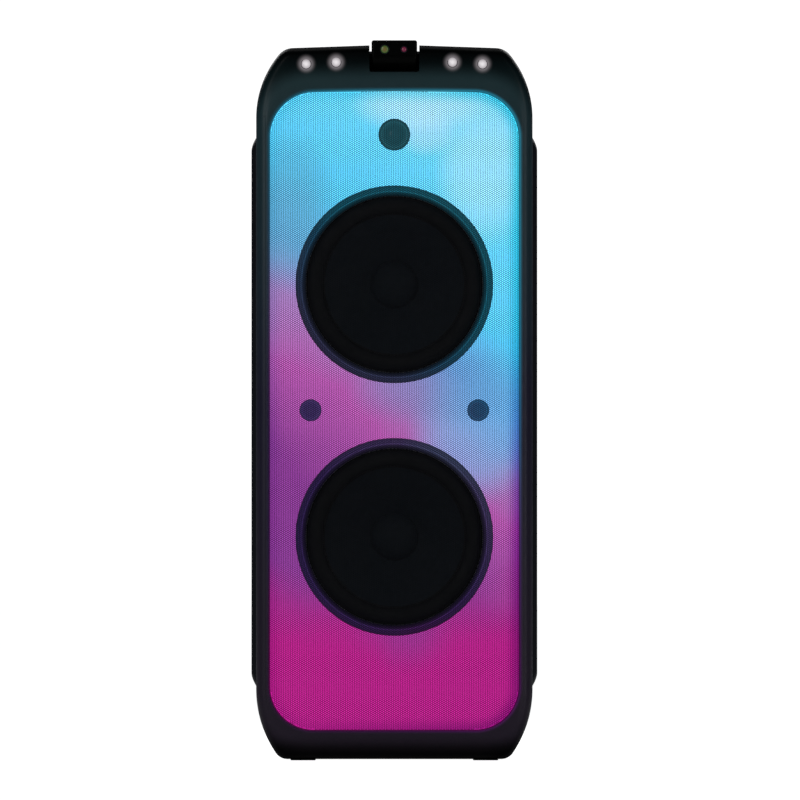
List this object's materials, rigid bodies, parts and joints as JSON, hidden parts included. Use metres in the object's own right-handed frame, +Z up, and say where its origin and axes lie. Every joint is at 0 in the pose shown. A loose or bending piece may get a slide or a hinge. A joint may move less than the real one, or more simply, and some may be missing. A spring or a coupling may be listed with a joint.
{
  "type": "party speaker",
  "caption": "Tall floor-standing party speaker with a light panel behind its grille, woofers, laser head, strobes, control deck, trolley handle and wheels",
  "frame": {"origin": "centre of the footprint, on the floor", "axes": "+Z up, the front with the grille faces -Y, +X to the viewer's right when facing the front"},
  "size_m": [0.3636, 0.35, 0.9148],
  "materials": {
    "bezel": "satin black, faintly glossy",
    "grille_steel": "satin black perforated steel",
    "light_panel": "milky diffuser, lit from behind",
    "circuit_board": "green solder mask",
    "strobe": "clear lens, lit white",
    "gloss_black": "piano black",
    "laser_green": "lit green lens",
    "laser_red": "lit red lens",
    "driver_steel": "plated pressed steel",
    "supply_case": "folded sheet",
    "magnet": "dark ferrite and steel",
    "surround": "matte rubber roll",
    "cone": "coated black paper",
    "tweeter": "black horn",
    "board": "fibreboard",
    "cabinet": "finely textured black",
    "pad": "matte black",
    "rubber": "matte black rubber",
    "tyre": "matte black rubber",
    "control": "satin dark grey",
    "chrome": "polished",
    "amp_plate": "black powder coat",
    "battery": "blue shrink wrap"
  },
  "bodies": {
    "cabinet": {"front_bezel": "bezel", "grille": "grille_steel", "light_panel": "light_panel", "light_board": "circuit_board", "strobe_lens_1": "strobe", "strobe_lens_2": "strobe", "strobe_lens_3": "strobe", "strobe_lens_4": "strobe", "woofer_upper_basket": "driver_steel", "woofer_upper_magnet": "magnet", "woofer_upper_surround": "surround", "woofer_upper_trim_ring": "gloss_black", "woofer_lower_basket": "driver_steel", "woofer_lower_magnet": "magnet", "woofer_lower_surround": "surround", "woofer_lower_trim_ring": "gloss_black", "tweeter": "tweeter", "side_tweeter_left": "tweeter", "side_tweeter_right": "tweeter", "baffle": "board", "cabinet_shell": "cabinet", "rear_panel": "cabinet", "side_pad_left": "pad", "side_pad_right": "pad", "front_foot_left": "rubber", "front_foot_right": "rubber", "control_panel": "gloss_black", "display_window": "gloss_black", "handle_sleeve_left": "driver_steel", "handle_sleeve_right": "driver_steel", "wheel_axle": "driver_steel", "port_tube": "cabinet", "amp_plate": "amp_plate", "power_inlet": "gloss_black", "amp_board": "circuit_board", "power_supply": "supply_case", "battery_pack": "battery", "battery_door": "cabinet"},
    "trolley_handle": {"handle_grip": "rubber", "handle_tube_left": "chrome", "handle_tube_right": "chrome"},
    "wheel_left": {"tyre_left": "tyre", "wheel_hub_left": "cabinet"},
    "wheel_right": {"tyre_right": "tyre", "wheel_hub_right": "cabinet"},
    "laser_unit": {"laser_head": "gloss_black", "laser_window": "gloss_black", "laser_lens_green": "laser_green", "laser_lens_red": "laser_red"},
    "cone_upper": {"woofer_upper_cone": "cone"},
    "cone_lower": {"woofer_lower_cone": "cone"},
    "volume_dial": {"volume_knob": "control"},
    "mic_dial": {"mic_knob": "control"},
    "source_key": {"button_source": "control"},
    "previous_key": {"button_previous": "control"},
    "play_key": {"button_play": "control"},
    "next_key": {"button_next": "control"},
    "light_key": {"button_light": "control"},
    "power_key": {"button_power": "control"},
    "mains_rocker": {"power_switch": "gloss_black"}
  },
  "joints": [
    {"name": "trolley_extend", "type": "slide", "parent": "cabinet", "child": "trolley_handle", "axis": [0, 0, 1], "range_m": [0, 0.38]},
    {"name": "wheel_left_spin", "type": "hinge", "parent": "cabinet", "child": "wheel_left", "pos_m": [-0.119, 0.133, 0.042], "axis": [1, 0, 0], "continuous": true},
    {"name": "wheel_right_spin", "type": "hinge", "parent": "cabinet", "child": "wheel_right", "pos_m": [0.119, 0.133, 0.042], "axis": [1, 0, 0], "continuous": true},
    {"name": "laser_tilt", "type": "hinge", "parent": "cabinet", "child": "laser_unit", "pos_m": [0, -0.146, 0.8955], "axis": [1, 0, 0], "range_deg": [-15, 15]},
    {"name": "cone_upper_travel", "type": "slide", "parent": "cabinet", "child": "cone_upper", "axis": [0, -1, 0], "range_m": [-0.006, 0.006], "stiffness_N_per_m": 3000, "deforming": ["woofer_upper_surround"]},
    {"name": "cone_lower_travel", "type": "slide", "parent": "cabinet", "child": "cone_lower", "axis": [0, -1, 0], "range_m": [-0.006, 0.006], "stiffness_N_per_m": 3000, "deforming": ["woofer_lower_surround"]},
    {"name": "volume_turn", "type": "hinge", "parent": "cabinet", "child": "volume_dial", "pos_m": [0, 0.03, 0.903], "axis": [0, 0, 1], "continuous": true},
    {"name": "mic_turn", "type": "hinge", "parent": "cabinet", "child": "mic_dial", "pos_m": [0.075, 0.03, 0.903], "axis": [0, 0, 1], "range_deg": [-140, 140]},
    {"name": "source_press", "type": "slide", "parent": "cabinet", "child": "source_key", "axis": [0, 0, -1], "range_m": [0, 0.0015], "stiffness_N_per_m": 400},
    {"name": "previous_press", "type": "slide", "parent": "cabinet", "child": "previous_key", "axis": [0, 0, -1], "range_m": [0, 0.0015], "stiffness_N_per_m": 400},
    {"name": "play_press", "type": "slide", "parent": "cabinet", "child": "play_key", "axis": [0, 0, -1], "range_m": [0, 0.0015], "stiffness_N_per_m": 400},
    {"name": "next_press", "type": "slide", "parent": "cabinet", "child": "next_key", "axis": [0, 0, -1], "range_m": [0, 0.0015], "stiffness_N_per_m": 400},
    {"name": "light_press", "type": "slide", "parent": "cabinet", "child": "light_key", "axis": [0, 0, -1], "range_m": [0, 0.0015], "stiffness_N_per_m": 400},
    {"name": "power_press", "type": "slide", "parent": "cabinet", "child": "power_key", "axis": [0, 0, -1], "range_m": [0, 0.0015], "stiffness_N_per_m": 400},
    {"name": "mains_rock", "type": "hinge", "parent": "cabinet", "child": "mains_rocker", "pos_m": [0.02, 0.158, 0.37], "axis": [1, 0, 0], "range_deg": [-20, 0]}
  ]
}
